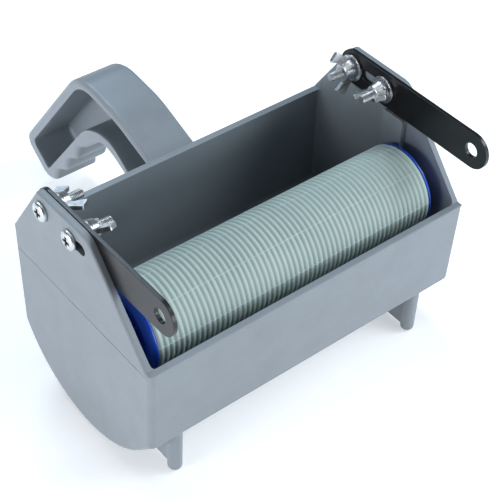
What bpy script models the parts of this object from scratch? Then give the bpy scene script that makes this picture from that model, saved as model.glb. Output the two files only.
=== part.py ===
"""Roller applicator tray: an open paint tray on a pistol handle, with a ribbed
feeder roller in it and two slotted steel arms for a pattern roller in front.

Lengths below are in millimetres and become metres in the helpers. X runs along
the roller, Y from the front wall to the handle, Z up. The layout is written in
tray coordinates: y = 0 at the front wall's outer face and z = 0 at its rim."""
import math
import bpy
import bmesh
from mathutils import Matrix, Vector

# ---- placing the layout in the world ----
Y_SHIFT = -118.98        # puts the middle of the length on Y = 0
Z_SHIFT = 87.8           # puts the feet on Z = 0

# ---- tray ----
TRAY_HALF = 100.0        # half of the outer width
WALL = 3.8               # wall thickness
DEPTH = 115.5            # front face to rear face
FRONT_BOTTOM = -53.1     # lower edge of the front wall
REAR_RIM = 10.2          # top of the rear wall
PLATE_TOP = 50.6         # top of the side plates
BELLY_Y, BELLY_Z, BELLY_R = 60.5, -25.4, 62.0   # outer arc of the trough's bottom
PLATE_FRONT_Y = 47.5     # where the slanted front edge meets the plate's top
PLATE_REAR_Y = 88.6      # where the rear chamfer meets the plate's top
PEG_X, PEG_R = 80.5, 3.85
PEG_Y = (9.1, 108.0)
PEG_TOP = -58.0
RAIL_T, RAIL_Z = 2.6, -86.4
PAD_Y = (43.6, 58.6)     # vertical pad inside each side plate
PAD_Z = (-46.0, 30.4)
PAD_X = 92.6             # face of the pad
SEAT_X = 91.4            # face of the axle seat
SEAT_Y = (26.0, 45.0)
SEAT_Z = (-15.0, 6.0)

# ---- screws and their holes ----
SCREW_Y = (84.8, 60.5)   # rear, front
SCREW_Z = 41.0
SHANK_R = 2.4
HEAD_R, HEAD_H = 5.3, 2.6
SCREW_TIP = 77.6         # distance of the thread's end from the middle plane
HOLE_R = 2.9
PLATE_SLOT = (48.7, 65.0, 3.2)   # slot in the plate: start, end, half height

# ---- arms ----
ARM_OUT, ARM_IN = 96.0, 93.8     # outer and inner face of an arm
ARM_HALF = 10.1
ARM_Y = (-13.2, 94.4)
ARM_HOLE_Y, ARM_HOLE_R = -2.9, 4.0
ARM_SLOT = (54.8, 77.4, 3.1)     # long slot: start, end, half height
SLIDE = 2.5              # travel of an arm each way
REAR_SLOT_REACH = SLIDE + 3.1    # from the rear screw to the end of the short slot

# ---- washers and wing nuts ----
WASHER_OUT, WASHER_T, WASHER_R = 93.6, 1.2, 7.5
NUT_OUT = 92.2           # seat of a wing nut
NUT_BASE_R, NUT_TOP_R, NUT_HUB_H = 5.6, 4.6, 6.5
NUT_SPAN_R, NUT_H, WING_T = 12.0, 13.0, 2.4
WING_ANGLE = {"rear_right": 70.0, "front_right": -25.0, "rear_left": -10.0, "front_left": -30.0}

# ---- feeder roller ----
AXLE_Y, AXLE_Z = 35.4, -4.3
AXLE_R, AXLE_HALF = 3.0, 95.6
SLEEVE_R, SLEEVE_HALF = 24.4, 86.3
CORE_R, CORE_BORE, CORE_HALF = 21.4, 18.9, 86.1
CAP_FLANGE_R, CAP_OUT = 23.9, 89.6
CAP_SPIGOT_R, CAP_SPIGOT_END = 18.6, 74.0
CAP_BORE = 3.2

# ---- handle ----
GRIP_X = (-15.5, 14.5)   # its two sides
WEB_X = 10.5             # the channel ends here, the web lies beyond it
ROOT_Y, ROOT_T = 115.8, 4.0
GRIP_DIR = math.radians(52.3)    # slope of the grip below the horizontal
FINGER_PITCH, FINGER_DEPTH = 21.5, 1.8


def clear_scene():
    for o in list(bpy.data.objects):
        bpy.data.objects.remove(o, do_unlink=True)
    for c in list(bpy.data.collections):
        bpy.data.collections.remove(c)


clear_scene()
PARTS = bpy.data.collections.new("roller_applicator_tray")
CUTTERS = bpy.data.collections.new("cutters")
for coll in (PARTS, CUTTERS):
    bpy.context.scene.collection.children.link(coll)


def pos(x, y, z):
    """Tray coordinates in mm to world metres."""
    return Vector((x, y + Y_SHIFT, z + Z_SHIFT)) * 0.001


def material(name, colour, rough, metal=0.0):
    m = bpy.data.materials.new(name)
    m.use_nodes = True
    b = m.node_tree.nodes["Principled BSDF"]
    b.inputs["Base Color"].default_value = (*colour, 1.0)
    b.inputs["Roughness"].default_value = rough
    b.inputs["Metallic"].default_value = metal
    return m


def new_object(name, bm, coll=PARTS):
    bmesh.ops.remove_doubles(bm, verts=bm.verts, dist=1e-6)
    bmesh.ops.recalc_face_normals(bm, faces=bm.faces)
    me = bpy.data.meshes.new(name)
    bm.to_mesh(me)
    bm.free()
    ob = bpy.data.objects.new(name, me)
    coll.objects.link(ob)
    if coll is CUTTERS:
        ob.hide_render = True
        ob.display_type = "WIRE"
    return ob


def rounded(corners, step=12.0):
    """Polygon from (y, z, radius) corners, each corner turned into an arc."""
    out = []
    n = len(corners)
    for i in range(n):
        p = Vector(corners[i][:2])
        r = corners[i][2]
        a = (Vector(corners[i - 1][:2]) - p).normalized()
        b = (Vector(corners[(i + 1) % n][:2]) - p).normalized()
        if r <= 0:
            out.append(p)
            continue
        half = a.angle(b) / 2
        c = p + (a + b).normalized() * (r / math.sin(half))
        start = p + a * (r / math.tan(half)) - c
        turn = math.pi - 2 * half
        sign = 1.0 if start.x * (-a.y) - start.y * (-a.x) > 0 else -1.0
        k = max(1, round(math.degrees(turn) / step))
        for j in range(k + 1):
            t = sign * turn * j / k
            out.append(c + Vector((start.x * math.cos(t) - start.y * math.sin(t),
                                   start.x * math.sin(t) + start.y * math.cos(t))))
    return out


def arc(cy, cz, r, a0, a1, k):
    return [Vector((cy + r * math.cos(math.radians(a0 + (a1 - a0) * i / k)),
                    cz + r * math.sin(math.radians(a0 + (a1 - a0) * i / k)))) for i in range(k + 1)]


def smooth(points, k=3):
    """Catmull-Rom curve through the points, k steps between neighbours."""
    pts = [Vector(p) for p in points]
    ext = [2 * pts[0] - pts[1]] + pts + [2 * pts[-1] - pts[-2]]
    out = []
    for i in range(1, len(ext) - 2):
        a, b, c, d = ext[i - 1:i + 3]
        for j in range(k):
            t = j / k
            out.append(0.5 * (2 * b + (c - a) * t + (2 * a - 5 * b + 4 * c - d) * t * t
                              + (3 * b - a - 3 * c + d) * t ** 3))
    return out + [pts[-1]]


def prism(name, outline, x0, x1, coll=PARTS):
    """Extrude a closed (y, z) outline from x0 to x1."""
    bm = bmesh.new()
    face = bm.faces.new([bm.verts.new(pos(x0, p[0], p[1])) for p in outline])
    ext = bmesh.ops.extrude_face_region(bm, geom=[face])
    moved = [g for g in ext["geom"] if isinstance(g, bmesh.types.BMVert)]
    bmesh.ops.translate(bm, verts=moved, vec=((x1 - x0) * 0.001, 0, 0))
    return new_object(name, bm, coll)


def box(name, x, y, z, coll=CUTTERS):
    return prism(name, [(y[0], z[0]), (y[1], z[0]), (y[1], z[1]), (y[0], z[1])], x[0], x[1], coll)


def rod(name, r, x0, x1, y, z, seg=32, coll=CUTTERS):
    """Cylinder along X."""
    ring = [(y + r * math.cos(2 * math.pi * i / seg), z + r * math.sin(2 * math.pi * i / seg))
            for i in range(seg)]
    return prism(name, ring, x0, x1, coll)


def slot(name, y0, y1, half, x0, x1, z, coll=CUTTERS):
    """Obround along Y with rounded ends."""
    ends = arc(y1 - half, z, half, -90, 90, 10) + arc(y0 + half, z, half, 90, 270, 10)
    return prism(name, ends, x0, x1, coll)


def lathe(name, profile, y, z, seg=48, coll=PARTS):
    """Turn an (x, r) profile about the line along X through (y, z). It closes on itself
    unless its ends lie on the axis."""
    bm = bmesh.new()
    verts = [bm.verts.new(pos(p[0], y + p[1], z)) for p in profile]
    first = 1 if profile[0][1] == 0 else 0
    edges = [bm.edges.new((verts[i], verts[i - 1])) for i in range(first, len(verts))]
    bmesh.ops.spin(bm, geom=verts + edges, cent=pos(0, y, z), axis=(1, 0, 0),
                   angle=2 * math.pi, steps=seg, use_duplicate=False)
    return new_object(name, bm, coll)


def combine(ob, other, operation):
    """Exact Boolean of two objects, kept as the first object's mesh."""
    mod = ob.modifiers.new("bool", "BOOLEAN")
    mod.operation = operation
    mod.solver = "EXACT"
    mod.object = other
    dg = bpy.context.evaluated_depsgraph_get()
    me = bpy.data.meshes.new_from_object(ob.evaluated_get(dg))
    ob.modifiers.clear()
    ob.data = me
    if other.users_collection[0] is PARTS:
        bpy.data.objects.remove(other, do_unlink=True)
    return ob


def finish(ob, mat, origin=None):
    """Material, clean mesh and origin for one finished piece."""
    bm = bmesh.new()
    bm.from_mesh(ob.data)
    bmesh.ops.remove_doubles(bm, verts=bm.verts, dist=2e-6)
    bmesh.ops.dissolve_degenerate(bm, edges=bm.edges, dist=1e-6)
    bmesh.ops.recalc_face_normals(bm, faces=bm.faces)
    bm.to_mesh(ob.data)
    bm.free()
    ob.data.materials.clear()
    ob.data.materials.append(mat)
    if origin is not None:
        ob.data.transform(Matrix.Translation(-origin))
        ob.location = origin
    return ob


# ---------------------------------------------------------------- tray
def trough(offset):
    """Outline of the trough's bottom, offset inwards, from the front corner to the rear one."""
    r = BELLY_R - offset
    ay, az = 1.6 + offset, FRONT_BOTTOM + offset * 0.45
    d = math.hypot(ay - BELLY_Y, az - BELLY_Z)
    to_corner = math.degrees(math.atan2(az - BELLY_Z, ay - BELLY_Y)) % 360
    touch = to_corner + math.degrees(math.acos(min(1.0, r / d)))
    rear = math.degrees(math.asin(-math.sqrt(1 - ((DEPTH - offset - BELLY_Y) / r) ** 2))) + 360
    return [Vector((ay, az))] + arc(BELLY_Y, BELLY_Z, r, touch, rear, 20)


def make_peg(x, y):
    """Round foot about a vertical axis, its top sunk in the trough's wall."""
    profile = [(0, -Z_SHIFT), (1.8, -Z_SHIFT), (PEG_R - 0.9, -Z_SHIFT + 0.55), (PEG_R - 0.25, -Z_SHIFT + 1.5),
               (PEG_R, -Z_SHIFT + 2.9), (PEG_R + 0.3, PEG_TOP), (0, PEG_TOP)]
    bm = bmesh.new()
    verts = [bm.verts.new(pos(x + p[0], y, p[1])) for p in profile]
    edges = [bm.edges.new((verts[i], verts[i + 1])) for i in range(len(verts) - 1)]
    bmesh.ops.spin(bm, geom=verts + edges, cent=pos(x, y, 0), axis=(0, 0, 1),
                   angle=2 * math.pi, steps=24, use_duplicate=False)
    return new_object("peg", bm)


def make_tray():
    top = rounded([(0, 0, 0), (WALL, 0, 0), (PLATE_FRONT_Y, PLATE_TOP, 10.0),
                   (PLATE_REAR_Y, PLATE_TOP, 3.0), (DEPTH, REAR_RIM + 0.4, 1.5), (DEPTH, -30, 0)])
    bottom = trough(0.0)
    tray = prism("tray", top + bottom[::-1], -TRAY_HALF, TRAY_HALF)
    for sx in (-1, 1):
        for py in PEG_Y:
            combine(tray, make_peg(sx * PEG_X, py), "UNION")
        x0 = sx * PEG_X - RAIL_T / 2
        rail = box("rail", (x0, x0 + RAIL_T), PEG_Y, (RAIL_Z, -60.0), PARTS)
        combine(tray, rail, "UNION")
    inner = [Vector((WALL, 70)), Vector((WALL, 0))] + trough(WALL)
    inner += [Vector((DEPTH - WALL, -30)), Vector((DEPTH - WALL, 70))]
    between = (-TRAY_HALF + WALL, TRAY_HALF - WALL)
    combine(tray, prism("cavity", inner, *between, CUTTERS), "DIFFERENCE")
    combine(tray, box("rim", between, (DEPTH - WALL - 1, DEPTH + 1), (REAR_RIM, 70)), "DIFFERENCE")
    for sx in (-1, 1):
        wall = sx * (TRAY_HALF - 1.0)
        pad = rounded([(PAD_Y[0], PAD_Z[0], 7.0), (PAD_Y[1], PAD_Z[0], 7.0),
                       (PAD_Y[1], PAD_Z[1], 2.0), (PAD_Y[0], PAD_Z[1], 2.0)])
        combine(tray, prism("pad", pad, sx * PAD_X, wall), "UNION")
        seat = rounded([(SEAT_Y[0], SEAT_Z[0], 6.0), (SEAT_Y[1], SEAT_Z[0], 0.0),
                        (SEAT_Y[1], SEAT_Z[1], 0.0), (SEAT_Y[0], SEAT_Z[1], 2.0)])
        combine(tray, prism("seat", seat, sx * SEAT_X, wall), "UNION")
        r = AXLE_R + 0.2
        notch = arc(AXLE_Y, AXLE_Z, r, 180, 360, 12) + [Vector((AXLE_Y + r, 9)), Vector((AXLE_Y - r, 9))]
        combine(tray, prism("axle_notch", notch, sx * 80, sx * (TRAY_HALF - WALL), CUTTERS), "DIFFERENCE")
        combine(tray, rod("rear_hole", HOLE_R, sx * 90, sx * 110, SCREW_Y[0], SCREW_Z), "DIFFERENCE")
        combine(tray, slot("front_slot", *PLATE_SLOT, sx * 90, sx * 110, SCREW_Z), "DIFFERENCE")
    return finish(tray, material("tray_plastic", (0.42, 0.48, 0.53), 0.42))


# ---------------------------------------------------------------- handle
def grip_point(n, s):
    """Point at distance n across the grip and s along it."""
    c, d = math.cos(GRIP_DIR), math.sin(GRIP_DIR)
    return Vector((n * d + s * c, n * c - s * d))


def make_handle():
    back, front, end = 163.5, 130.6, 203.8
    apex = grip_point(back, 97.4)
    outer = rounded([(ROOT_Y, -34.0, 0), (ROOT_Y, 5.6, 0), (150, 18.4, 60), (apex.x, apex.y, 28),
                     (*grip_point(back, end), 7), (*grip_point(front - FINGER_DEPTH, end), 9),
                     (*grip_point(front - FINGER_DEPTH, 180), 0)])[:-1]
    fingers = [grip_point(front + FINGER_DEPTH * math.cos(2 * math.pi * (s - 184.0) / FINGER_PITCH), s)
               for s in [194.0 - 2.15 * i for i in range(29)]]
    crotch = smooth([fingers[-1], (176.5, -18.6), (170.0, -13.8), (163.0, -12.2), (156.0, -13.6),
                     (148.0, -17.2), (138.0, -22.4), (ROOT_Y, -34.0)], 4)
    handle = prism("handle", outer + fingers[:-1] + crotch[:-1], *GRIP_X)
    wall, y0 = 6.4, ROOT_Y + ROOT_T
    apex = grip_point(back - wall, 98.6)
    channel = rounded([(y0, -25.4, 0), (y0, 2.4, 0), (150, 13.2, 60), (apex.x, apex.y, 20),
                       (*grip_point(back - wall, 195.5), 4), (*grip_point(137.6, 195.5), 3),
                       (*grip_point(137.6, 180), 0)])[:-1]
    inside = smooth([grip_point(137.6, 190), grip_point(137.6, 160), grip_point(137.8, 130),
                     (182.5, -12.4), (177.0, -8.9), (170.0, -6.0), (162.5, -5.0), (155.0, -6.0),
                     (148.0, -9.8), (138.0, -16.4), (y0, -25.4)], 3)
    combine(handle, prism("channel", channel + inside[:-1], GRIP_X[0] - 5, WEB_X, CUTTERS), "DIFFERENCE")
    return finish(handle, material("handle_plastic", (0.40, 0.47, 0.53), 0.42))


# ---------------------------------------------------------------- feeder roller
def make_roller():
    pin = pos(0, AXLE_Y, AXLE_Z)
    sleeve = lathe("roller_sleeve", [(-SLEEVE_HALF, CORE_R + 0.1), (-SLEEVE_HALF, SLEEVE_R - 0.6),
                                     (-SLEEVE_HALF + 0.6, SLEEVE_R), (SLEEVE_HALF - 0.6, SLEEVE_R),
                                     (SLEEVE_HALF, SLEEVE_R - 0.6), (SLEEVE_HALF, CORE_R + 0.1)],
                   AXLE_Y, AXLE_Z, 64)
    finish(sleeve, material("sleeve_rubber", (0.45, 0.53, 0.50), 0.7), pin)
    core = lathe("roller_core", [(-CORE_HALF, CORE_BORE), (-CORE_HALF, CORE_R),
                                 (CORE_HALF, CORE_R), (CORE_HALF, CORE_BORE)], AXLE_Y, AXLE_Z, 48)
    finish(core, material("core_plastic", (0.55, 0.57, 0.58), 0.5), pin)
    for name, sx in (("left", -1), ("right", 1)):
        profile = [(SLEEVE_HALF + 0.3, CAP_SPIGOT_R), (SLEEVE_HALF + 0.3, CAP_FLANGE_R),
                   (CAP_OUT - 1.4, CAP_FLANGE_R), (CAP_OUT - 0.4, CAP_FLANGE_R - 0.5),
                   (CAP_OUT, CAP_FLANGE_R - 1.5), (CAP_OUT, 16.5), (CAP_OUT - 2.0, 15.0),
                   (CAP_OUT - 2.0, 8.5), (CAP_OUT, 7.5), (CAP_OUT, CAP_BORE),
                   (CAP_SPIGOT_END, CAP_BORE), (CAP_SPIGOT_END, 6.5), (CAP_OUT - 6.0, 7.5),
                   (CAP_OUT - 6.0, 16.0), (CAP_SPIGOT_END, 16.6), (CAP_SPIGOT_END, CAP_SPIGOT_R)]
        cap = lathe("roller_cap_" + name, [(sx * p[0], p[1]) for p in profile], AXLE_Y, AXLE_Z, 64)
        finish(cap, material("cap_blue_" + name, (0.01, 0.05, 0.48), 0.25), pin)
    c = 0.6
    axle = lathe("roller_axle", [(-AXLE_HALF, 0), (-AXLE_HALF, AXLE_R - c), (-AXLE_HALF + c, AXLE_R),
                                 (AXLE_HALF - c, AXLE_R), (AXLE_HALF, AXLE_R - c), (AXLE_HALF, 0)],
                 AXLE_Y, AXLE_Z, 32)
    finish(axle, material("axle_steel", (0.6, 0.6, 0.62), 0.3, 1.0), pin)


# ---------------------------------------------------------------- arms and their fasteners
def make_arm(name, sx):
    ends = [(ARM_Y[0], SCREW_Z - ARM_HALF, 9.9), (ARM_Y[1], SCREW_Z - ARM_HALF, 9.9),
            (ARM_Y[1], SCREW_Z + ARM_HALF, 9.9), (ARM_Y[0], SCREW_Z + ARM_HALF, 9.9)]
    arm = prism("arm_" + name, rounded(ends, 9.0), sx * ARM_IN, sx * ARM_OUT)
    combine(arm, rod("arm_hole", ARM_HOLE_R, sx * 90, sx * 99, ARM_HOLE_Y, SCREW_Z), "DIFFERENCE")
    combine(arm, slot("arm_slot", *ARM_SLOT, sx * 90, sx * 99, SCREW_Z), "DIFFERENCE")
    rear = (SCREW_Y[0] - REAR_SLOT_REACH, SCREW_Y[0] + REAR_SLOT_REACH, HOLE_R)
    combine(arm, slot("arm_rear_slot", *rear, sx * 90, sx * 99, SCREW_Z), "DIFFERENCE")
    finish(arm, material("arm_paint_" + name, (0.02, 0.02, 0.022), 0.4), pos(sx * ARM_IN, 40.0, SCREW_Z))


def make_screw(name, sx, y):
    head = TRAY_HALF + 0.2
    profile = [(SCREW_TIP, 0), (SCREW_TIP, SHANK_R - 0.6), (SCREW_TIP + 0.6, SHANK_R), (head, SHANK_R),
               (head, HEAD_R - 0.2), (head + 0.2, HEAD_R), (head + HEAD_H * 0.55, HEAD_R),
               (head + HEAD_H * 0.85, HEAD_R - 1.0), (head + HEAD_H, HEAD_R - 2.6), (head + HEAD_H, 0)]
    screw = lathe("screw_" + name, [(sx * p[0], p[1]) for p in profile], y, SCREW_Z, 32)
    x = (sx * (head + HEAD_H - 1.6), sx * (head + HEAD_H + 2))
    for wy, wz in ((0.65, 2.9), (2.9, 0.65)):
        cross = box("recess", x, (y - wy, y + wy), (SCREW_Z - wz, SCREW_Z + wz))
        combine(screw, cross, "DIFFERENCE")
    finish(screw, material("screw_zinc_" + name, (0.78, 0.79, 0.8), 0.22, 1.0), pos(sx * head, y, SCREW_Z))


def make_washer(name, sx, y):
    x0, x1, r = WASHER_OUT, WASHER_OUT - WASHER_T, WASHER_R
    profile = [(x0, 2.8), (x0, r - 0.2), (x0 - 0.2, r), (x1 + 0.2, r), (x1, r - 0.2), (x1, 2.8)]
    washer = lathe("washer_" + name, [(sx * p[0], p[1]) for p in profile], y, SCREW_Z, 40)
    finish(washer, material("washer_zinc_" + name, (0.75, 0.76, 0.77), 0.25, 1.0), pos(sx * x0, y, SCREW_Z))


def make_wingnut(name, sx, y):
    """Hub turned about the screw's axis, with two rounded wings."""
    h = NUT_HUB_H
    hub = [(0, 2.7), (0, NUT_BASE_R - 0.4), (0.4, NUT_BASE_R), (2.0, NUT_BASE_R),
           (h - 0.5, NUT_TOP_R), (h, NUT_TOP_R - 0.5), (h, 2.7)]
    nut = lathe("wingnut_" + name, [(sx * (NUT_OUT - p[0]), p[1]) for p in hub], y, SCREW_Z, 32)
    s, t = NUT_SPAN_R, NUT_H
    wing = rounded([(3.2, 0.9, 0), (5.4, 0.9, 1.5), (8.6, 5.0, 3.4), (s, 7.0, 1.5), (s - 0.3, t, 2.0),
                    (7.9, t, 1.5), (5.2, h - 0.6, 2.0), (3.2, h - 0.6, 0)], 22.0)
    for side in (-1, 1):
        bm = bmesh.new()
        ring = [bm.verts.new(Vector((-sx * p[1], side * p[0], -WING_T / 2)) * 0.001) for p in wing]
        face = bm.faces.new(ring)
        ext = bmesh.ops.extrude_face_region(bm, geom=[face])
        moved = [g for g in ext["geom"] if isinstance(g, bmesh.types.BMVert)]
        bmesh.ops.translate(bm, verts=moved, vec=(0, 0, WING_T * 0.001))
        tab = new_object("wing", bm)
        turn = Matrix.Rotation(math.radians(WING_ANGLE[name]), 4, "X")
        tab.data.transform(Matrix.Translation(pos(sx * NUT_OUT, y, SCREW_Z)) @ turn)
        combine(nut, tab, "UNION")
    finish(nut, material("wingnut_zinc_" + name, (0.8, 0.8, 0.81), 0.2, 1.0), pos(sx * NUT_OUT, y, SCREW_Z))


make_tray()
make_handle()
make_roller()
for side, sx in (("left", -1), ("right", 1)):
    make_arm(side, sx)
    for row, y in (("rear", SCREW_Y[0]), ("front", SCREW_Y[1])):
        key = row + "_" + side
        make_screw(key, sx, y)
        make_washer(key, sx, y)
        make_wingnut(key, sx, y)
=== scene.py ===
"""Looks of the roller applicator tray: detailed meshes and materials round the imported
CAD model. Lengths are in millimetres until at() turns them into the frame's metres.
Layout: x along the feeder roller, y back from the front wall, z up from its rim."""
import math
import random

import bmesh
import bpy
from mathutils import Matrix, Vector


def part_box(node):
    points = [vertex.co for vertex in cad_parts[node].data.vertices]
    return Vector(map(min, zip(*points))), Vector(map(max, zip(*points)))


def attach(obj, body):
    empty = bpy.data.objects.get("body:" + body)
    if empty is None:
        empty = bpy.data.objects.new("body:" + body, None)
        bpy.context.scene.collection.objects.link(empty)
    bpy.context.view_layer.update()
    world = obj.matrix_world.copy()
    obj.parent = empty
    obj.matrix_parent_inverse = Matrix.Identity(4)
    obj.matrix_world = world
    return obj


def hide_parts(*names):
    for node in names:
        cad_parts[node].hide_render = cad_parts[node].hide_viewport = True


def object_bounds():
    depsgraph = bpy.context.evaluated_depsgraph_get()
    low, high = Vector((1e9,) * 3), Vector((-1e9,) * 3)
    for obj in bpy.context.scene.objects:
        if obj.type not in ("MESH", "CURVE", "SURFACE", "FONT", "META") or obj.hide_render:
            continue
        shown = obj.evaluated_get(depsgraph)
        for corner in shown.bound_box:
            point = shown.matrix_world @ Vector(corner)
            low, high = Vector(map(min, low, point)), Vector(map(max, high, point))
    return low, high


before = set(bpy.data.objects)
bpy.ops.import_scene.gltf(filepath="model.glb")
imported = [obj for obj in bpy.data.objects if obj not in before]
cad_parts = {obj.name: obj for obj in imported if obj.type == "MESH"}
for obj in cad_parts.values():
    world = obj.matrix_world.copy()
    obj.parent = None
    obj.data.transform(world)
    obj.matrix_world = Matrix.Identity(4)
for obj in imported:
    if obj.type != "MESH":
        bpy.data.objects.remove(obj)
cad_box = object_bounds()
MM = 0.001


def node_box(name):
    """A CAD node's corners in millimetres of the row frame."""
    lo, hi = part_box(name)
    return lo / MM, hi / MM


TRAY_LO, TRAY_HI = node_box("tray")
RIM = 87.8                       # height of the front wall's rim above the feet's ends
ORIGIN = Vector((0.0, TRAY_LO.y, TRAY_LO.z + RIM))

# ---- tray ----
TRAY_HALF = TRAY_HI.x
DEPTH = TRAY_HI.y - TRAY_LO.y
PLATE_TOP = TRAY_HI.z - TRAY_LO.z - RIM
WALL = 3.8
FRONT_BOTTOM = -53.1
REAR_RIM = 10.2
BELLY_Y, BELLY_Z, BELLY_R = 60.5, -25.4, 62.0
PLATE_FRONT_Y, PLATE_REAR_Y = 47.5, 88.6
PEG_X, PEG_R, PEG_Y, PEG_TOP = 80.5, 3.85, (9.1, 108.0), -58.0
PEG_DOME = 3.1
RAIL_T, RAIL_Z, RAIL_TOP = 2.6, -86.4, -60.0
PAD_X, PAD_Y, PAD_Z = 92.6, (43.6, 58.6), (-46.0, 30.4)
SEAT_X, SEAT_Y, SEAT_Z = 91.4, (26.0, 45.0), (-15.0, 6.0)
NOTCH_R = 3.2
PARTING_Z = -2.75

# ---- screws, arms, washers, nuts ----
SCREWS = {}
for key in ("rear_left", "front_left", "rear_right", "front_right"):
    lo, hi = node_box("screw_" + key)
    SCREWS[key] = ((lo + hi) / 2 - ORIGIN, hi.x if hi.x > 0 else -lo.x, min(abs(lo.x), abs(hi.x)))
SCREW_Z = SCREWS["rear_left"][0].z
HEAD_R, HEAD_H, SHANK_R, THREAD_PITCH, THREAD_DEPTH = 5.3, 2.6, 2.42, 0.8, 0.34
HOLE_R = 2.9
RECESS_SHADE_RANGE = (0.0, 0.004)      # metres over which a screw head's recess is darkened by painted shade
PLATE_SLOT = (48.7, 65.0, 3.2)
ARM_IN, ARM_OUT = 93.8, 96.0
ARM_HOLE_Y, ARM_HOLE_R = -2.9, 4.0
ARM_SLOT = (54.8, 77.4, 3.1)
ARM_REAR_SLOT = (79.2, 90.4, 2.9)
WASHER_OUT, WASHER_T, WASHER_R = 93.6, 1.2, 7.5
NUT_OUT, NUT_HUB_H, NUT_SPAN_R, NUT_H = 92.2, 6.5, 12.0, 13.0
WING_ANGLE = {"rear_right": 70.0, "front_right": -25.0, "rear_left": -10.0, "front_left": -30.0}

# ---- feeder roller ----
SLEEVE_LO, SLEEVE_HI = node_box("roller_sleeve")
AXIS = (SLEEVE_LO + SLEEVE_HI) / 2 - ORIGIN
SLEEVE_R, SLEEVE_HALF, SLEEVE_BORE = (SLEEVE_HI.z - SLEEVE_LO.z) / 2, SLEEVE_HI.x, 21.5
RINGS, GROOVE_DEPTH, FLASH = 57, 0.72, 0.16
SEAM_FIRST, SEAM_STEP = 79.0, 45.0

# ---- handle ----
HANDLE_LO, HANDLE_HI = node_box("handle")
HANDLE_X = (HANDLE_LO.x, HANDLE_HI.x)
WEB_T = 4.0
ROOT_Y, ROOT_T = 115.8, 4.0
GRIP_DIR = math.radians(52.3)
GRIP_BACK, GRIP_FRONT, GRIP_END = 163.5, 130.6, 203.8
GRIP_WALL, CHANNEL_FRONT, CHANNEL_END = 6.4, 137.6, 195.5
FINGER_PITCH, FINGER_DEPTH = 21.5, 1.8

# ---- camera, in the photograph's direction ----
EYE = (-323.2, -330.2, 451.7)
AZIMUTH, ELEVATION, ROLL = -40.18, 43.01, 2.30
LENS = 95.8

# ---- studio: sky by height, then lights as bearing, height, distance, size, power, colour ----
FLOOR_GLOW = 0.42
SKY = [(0.0, (0.05, 0.055, 0.06)), (1.0, (0.03, 0.034, 0.04))]
LIGHTS = [
    ("left_soft", 180.0, 8.0, 1.5, 0.7, 14.9, (0.95, 1.0, 1.06)),
    ("front_soft", -70.0, 8.0, 1.5, 0.7, 8.8, (0.93, 1.0, 1.10)),
    ("right_high", -40.0, 40.0, 1.5, 0.7, 10.4, (0.90, 1.0, 1.06)),
    ("rear_high", 80.0, 50.0, 1.5, 0.7, 11.0, (0.82, 1.0, 1.18)),
    ("top_soft", -90.0, 86.0, 1.6, 0.8, 3.6, (1.0, 0.98, 0.95)),
]


def at(x, y, z):
    """Layout millimetres to the frame's metres."""
    return (Vector((x, y, z)) + ORIGIN) * MM


# ------------------------------------------------------------------ mesh helpers
def new_piece(name, bm):
    bmesh.ops.remove_doubles(bm, verts=bm.verts, dist=1e-7)
    bmesh.ops.recalc_face_normals(bm, faces=bm.faces)
    me = bpy.data.meshes.new(name)
    bm.to_mesh(me)
    bm.free()
    ob = bpy.data.objects.new(name, me)
    bpy.context.scene.collection.objects.link(ob)
    return ob


def applied(ob):
    """Bake an object's modifiers into its mesh."""
    dg = bpy.context.evaluated_depsgraph_get()
    me = bpy.data.meshes.new_from_object(ob.evaluated_get(dg))
    ob.modifiers.clear()
    ob.data = me
    return ob


def rounded(corners, step=6.0):
    """Polygon from (y, z, radius) corners, each corner turned into an arc."""
    out = []
    n = len(corners)
    for i in range(n):
        p = Vector(corners[i][:2])
        r = corners[i][2]
        a = (Vector(corners[i - 1][:2]) - p).normalized()
        b = (Vector(corners[(i + 1) % n][:2]) - p).normalized()
        if r <= 0:
            out.append(p)
            continue
        half = a.angle(b) / 2
        c = p + (a + b).normalized() * (r / math.sin(half))
        start = p + a * (r / math.tan(half)) - c
        turn = math.pi - 2 * half
        sign = 1.0 if start.x * (-a.y) - start.y * (-a.x) > 0 else -1.0
        k = max(1, round(math.degrees(turn) / step))
        for j in range(k + 1):
            t = sign * turn * j / k
            out.append(c + Vector((start.x * math.cos(t) - start.y * math.sin(t),
                                   start.x * math.sin(t) + start.y * math.cos(t))))
    return out


def arc(cy, cz, r, a0, a1, k):
    return [Vector((cy + r * math.cos(math.radians(a0 + (a1 - a0) * i / k)),
                    cz + r * math.sin(math.radians(a0 + (a1 - a0) * i / k)))) for i in range(k + 1)]


def smooth(points, k=6):
    """Catmull-Rom curve through the points, k steps between neighbours."""
    pts = [Vector(p) for p in points]
    ext = [2 * pts[0] - pts[1]] + pts + [2 * pts[-1] - pts[-2]]
    out = []
    for i in range(1, len(ext) - 2):
        a, b, c, d = ext[i - 1:i + 3]
        for j in range(k):
            t = j / k
            out.append(0.5 * (2 * b + (c - a) * t + (2 * a - 5 * b + 4 * c - d) * t * t
                              + (3 * b - a - 3 * c + d) * t ** 3))
    return out + [pts[-1]]


def prism(name, outline, x0, x1):
    """Extrude a closed (y, z) outline from x0 to x1."""
    bm = bmesh.new()
    face = bm.faces.new([bm.verts.new(at(x0, p[0], p[1])) for p in outline])
    ext = bmesh.ops.extrude_face_region(bm, geom=[face])
    moved = [g for g in ext["geom"] if isinstance(g, bmesh.types.BMVert)]
    bmesh.ops.translate(bm, verts=moved, vec=((x1 - x0) * MM, 0, 0))
    return new_piece(name, bm)


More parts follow.
